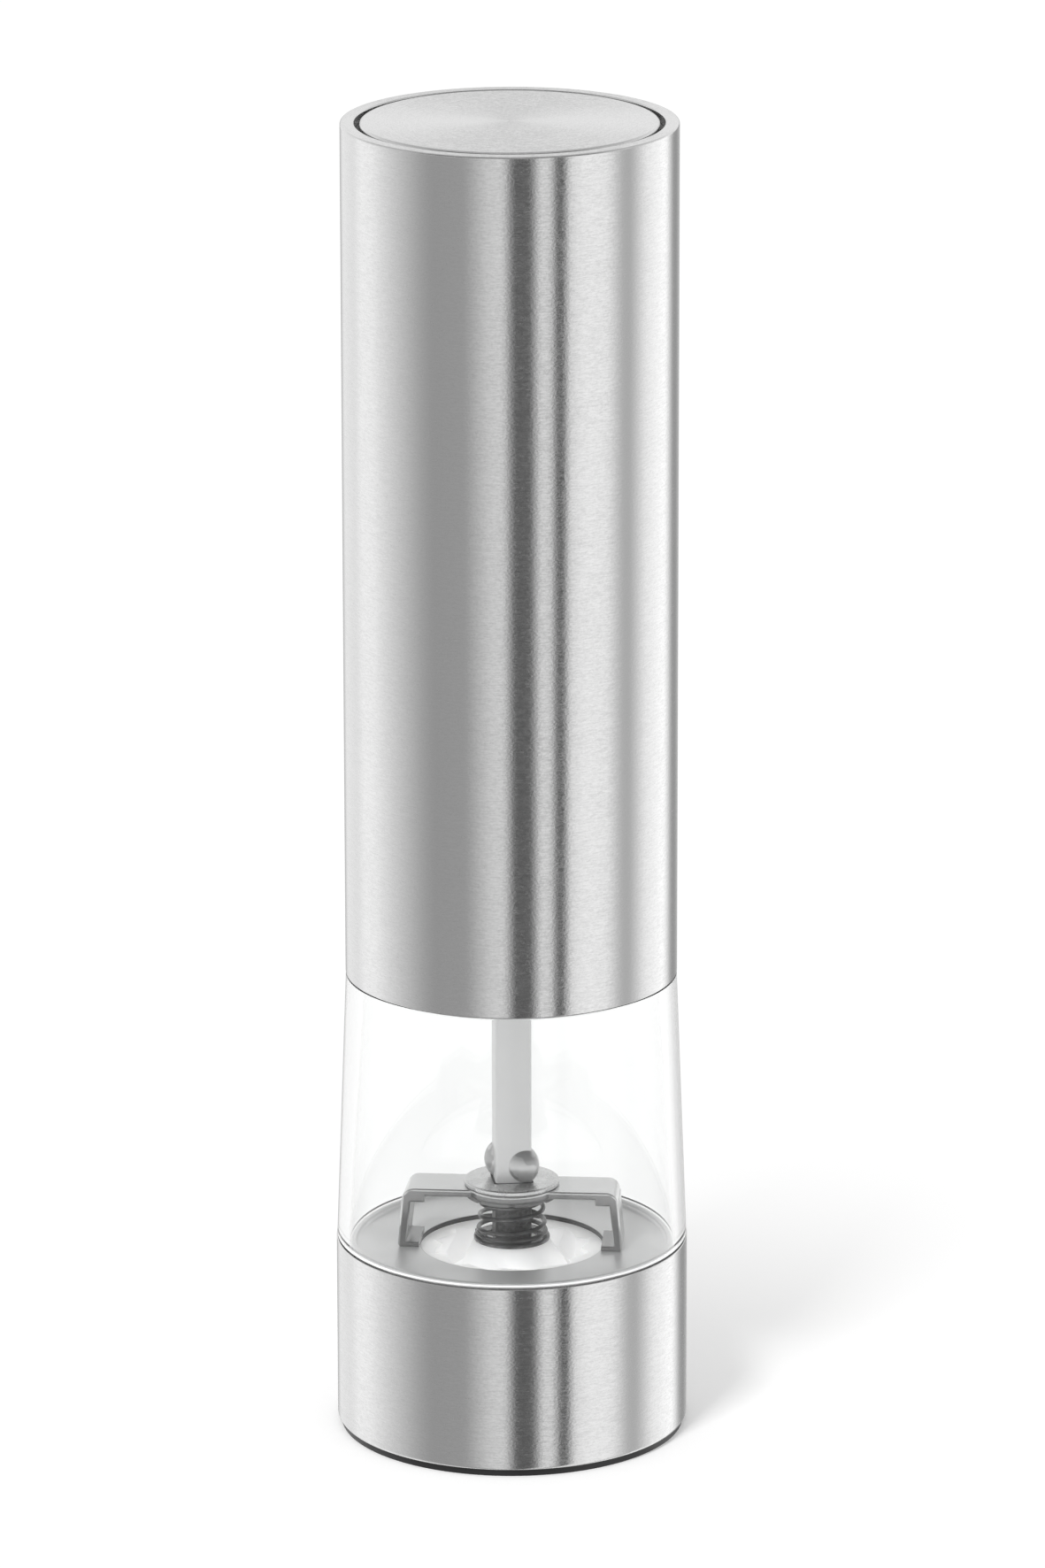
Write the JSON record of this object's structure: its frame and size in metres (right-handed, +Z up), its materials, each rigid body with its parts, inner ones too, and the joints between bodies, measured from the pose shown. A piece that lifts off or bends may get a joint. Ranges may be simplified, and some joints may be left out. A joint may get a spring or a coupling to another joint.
{
  "type": "electric pepper mill",
  "caption": "Battery pepper mill: a brushed steel sleeve with a push button in its top stands on a clear pepper chamber and a steel base ring round a ceramic mill.",
  "frame": {"origin": "centre of the foot's underside, on the table", "axes": "+Z up along the axis of the mill, the front of the picture towards -Y, +X to the right"},
  "size_m": [0.0554, 0.0554, 0.2103],
  "materials": {
    "brushed_steel": "brushed, satin",
    "steel": "plain sheet steel",
    "spring_steel": "bright spring wire",
    "clear_plastic": "clear acrylic, polished",
    "black_plastic": "matte black",
    "grey_plastic": "satin grey",
    "silver_lacquer": "satin silver lacquer on plastic",
    "white_plastic": "matte white",
    "zinc": "die-cast, satin",
    "ceramic": "fine white ceramic",
    "brass": "turned",
    "iron": "laminated sheet",
    "ferrite": "sintered magnet",
    "copper": "copper bars",
    "cell_jacket": "plain wrapped can"
  },
  "bodies": {
    "mill_base": {"lower_housing": "black_plastic", "base_sleeve": "brushed_steel", "pepper_chamber": "clear_plastic", "chamber_floor": "silver_lacquer", "bridge_bracket": "silver_lacquer", "shaft_bush": "grey_plastic", "ceramic_stator": "ceramic", "stator_retainer": "black_plastic", "retainer_screws": "steel"},
    "drive_shaft": {"drive_shaft": "zinc", "shaft_washer": "steel", "mill_spring": "spring_steel"},
    "rotor": {"ceramic_rotor": "ceramic", "rotor_washer": "steel"},
    "adjuster": {"adjuster_knob": "black_plastic", "adjuster_nut": "brass"},
    "drive_unit": {"unit_base": "black_plastic", "gearbox_housing": "black_plastic", "output_bush": "brass", "gearbox_screws": "steel", "motor_plate": "zinc", "motor_screws": "steel", "motor_can": "steel", "motor_end_cap": "white_plastic", "motor_magnets": "ferrite", "motor_housing": "black_plastic", "battery_holder": "black_plastic", "lower_contacts": "steel", "lower_contact_springs": "spring_steel", "battery_cell_1": "cell_jacket", "battery_cell_2": "cell_jacket", "battery_cell_3": "cell_jacket", "battery_cell_4": "cell_jacket", "upper_contacts": "steel", "upper_contact_springs": "spring_steel", "motor_leads": "steel", "contact_cover": "black_plastic", "cover_screws": "steel", "switch_riser": "black_plastic", "switch_contact": "steel"},
    "output_carrier": {"output_carrier": "white_plastic", "output_pins": "steel"},
    "output_planet_1": {"output_planet_1": "white_plastic"},
    "output_planet_2": {"output_planet_2": "white_plastic"},
    "output_planet_3": {"output_planet_3": "white_plastic"},
    "stage_carrier": {"stage_carrier": "white_plastic", "stage_pins": "steel"},
    "stage_planet_1": {"stage_planet_1": "white_plastic"},
    "stage_planet_2": {"stage_planet_2": "white_plastic"},
    "stage_planet_3": {"stage_planet_3": "white_plastic"},
    "motor_rotor": {"motor_shaft": "steel", "motor_pinion": "steel", "armature": "iron", "commutator": "copper"},
    "switch_leaf": {"switch_leaf": "steel"},
    "sleeve": {"upper_sleeve": "brushed_steel", "button_guide": "black_plastic", "button_spring": "spring_steel"},
    "button": {"button_cap": "brushed_steel", "button_plunger": "black_plastic"}
  },
  "joints": [
    {"name": "shaft_spin", "type": "hinge", "parent": "mill_base", "child": "drive_shaft", "pos_m": [0, 0, 0.04], "axis": [0, 0, 1], "continuous": true},
    {"name": "rotor_shift", "type": "slide", "parent": "drive_shaft", "child": "rotor", "axis": [0, 0, 1], "range_m": [-0.00041, 0.00041], "deforming": ["mill_spring"]},
    {"name": "adjuster_turn", "type": "hinge", "parent": "rotor", "child": "adjuster", "pos_m": [0, 0, 0.01], "axis": [0, 0, 1], "range_deg": [-180, 180]},
    {"name": "unit_lift", "type": "slide", "parent": "mill_base", "child": "drive_unit", "axis": [0, 0, 1], "range_m": [0, 0.045]},
    {"name": "output_spin", "type": "hinge", "parent": "drive_unit", "child": "output_carrier", "pos_m": [0, 0, 0.08], "axis": [0, 0, 1], "continuous": true},
    {"name": "output_planet_1_spin", "type": "hinge", "parent": "output_carrier", "child": "output_planet_1", "pos_m": [0.0075, 0, 0.0885], "axis": [0, 0, 1], "continuous": true},
    {"name": "output_planet_2_spin", "type": "hinge", "parent": "output_carrier", "child": "output_planet_2", "pos_m": [-0.00375, 0.00649, 0.0885], "axis": [0, 0, 1], "continuous": true},
    {"name": "output_planet_3_spin", "type": "hinge", "parent": "output_carrier", "child": "output_planet_3", "pos_m": [-0.00375, -0.00649, 0.0885], "axis": [0, 0, 1], "continuous": true},
    {"name": "stage_spin", "type": "hinge", "parent": "drive_unit", "child": "stage_carrier", "pos_m": [0, 0, 0.0925], "axis": [0, 0, 1], "continuous": true},
    {"name": "stage_planet_1_spin", "type": "hinge", "parent": "stage_carrier", "child": "stage_planet_1", "pos_m": [0.0075, 0, 0.0963], "axis": [0, 0, 1], "continuous": true},
    {"name": "stage_planet_2_spin", "type": "hinge", "parent": "stage_carrier", "child": "stage_planet_2", "pos_m": [-0.00375, 0.00649, 0.0963], "axis": [0, 0, 1], "continuous": true},
    {"name": "stage_planet_3_spin", "type": "hinge", "parent": "stage_carrier", "child": "stage_planet_3", "pos_m": [-0.00375, -0.00649, 0.0963], "axis": [0, 0, 1], "continuous": true},
    {"name": "motor_spin", "type": "hinge", "parent": "drive_unit", "child": "motor_rotor", "pos_m": [0, 0, 0.11], "axis": [0, 0, 1], "continuous": true},
    {"name": "sleeve_lift", "type": "slide", "parent": "drive_unit", "child": "sleeve", "axis": [0, 0, 1], "range_m": [0, 0.13]},
    {"name": "button_press", "type": "slide", "parent": "sleeve", "child": "button", "axis": [0, 0, -1], "range_m": [0, 0.0016], "stiffness_N_per_m": 1200, "springref_m": -0.001, "deforming": ["button_spring"]},
    {"name": "switch_bend", "type": "hinge", "parent": "drive_unit", "child": "switch_leaf", "pos_m": [-0.012, 0, 0.1988], "axis": [0, 1, 0], "range_deg": [0, 8.3]}
  ],
  "couplings": [
    {"joint": "output_spin", "follows": "shaft_spin", "ratio": 1},
    {"joint": "output_planet_1_spin", "follows": "shaft_spin", "ratio": -2.6667},
    {"joint": "output_planet_2_spin", "follows": "shaft_spin", "ratio": -2.6667},
    {"joint": "output_planet_3_spin", "follows": "shaft_spin", "ratio": -2.6667},
    {"joint": "stage_spin", "follows": "shaft_spin", "ratio": 5},
    {"joint": "stage_planet_1_spin", "follows": "shaft_spin", "ratio": -13.333},
    {"joint": "stage_planet_2_spin", "follows": "shaft_spin", "ratio": -13.333},
    {"joint": "stage_planet_3_spin", "follows": "shaft_spin", "ratio": -13.333},
    {"joint": "motor_spin", "follows": "shaft_spin", "ratio": 25},
    {"joint": "rotor_shift", "follows": "adjuster_turn", "m_per_rad": 0.00012732},
    {"joint": "switch_bend", "follows": "button_press", "rad_per_m": 88.4}
  ]
}
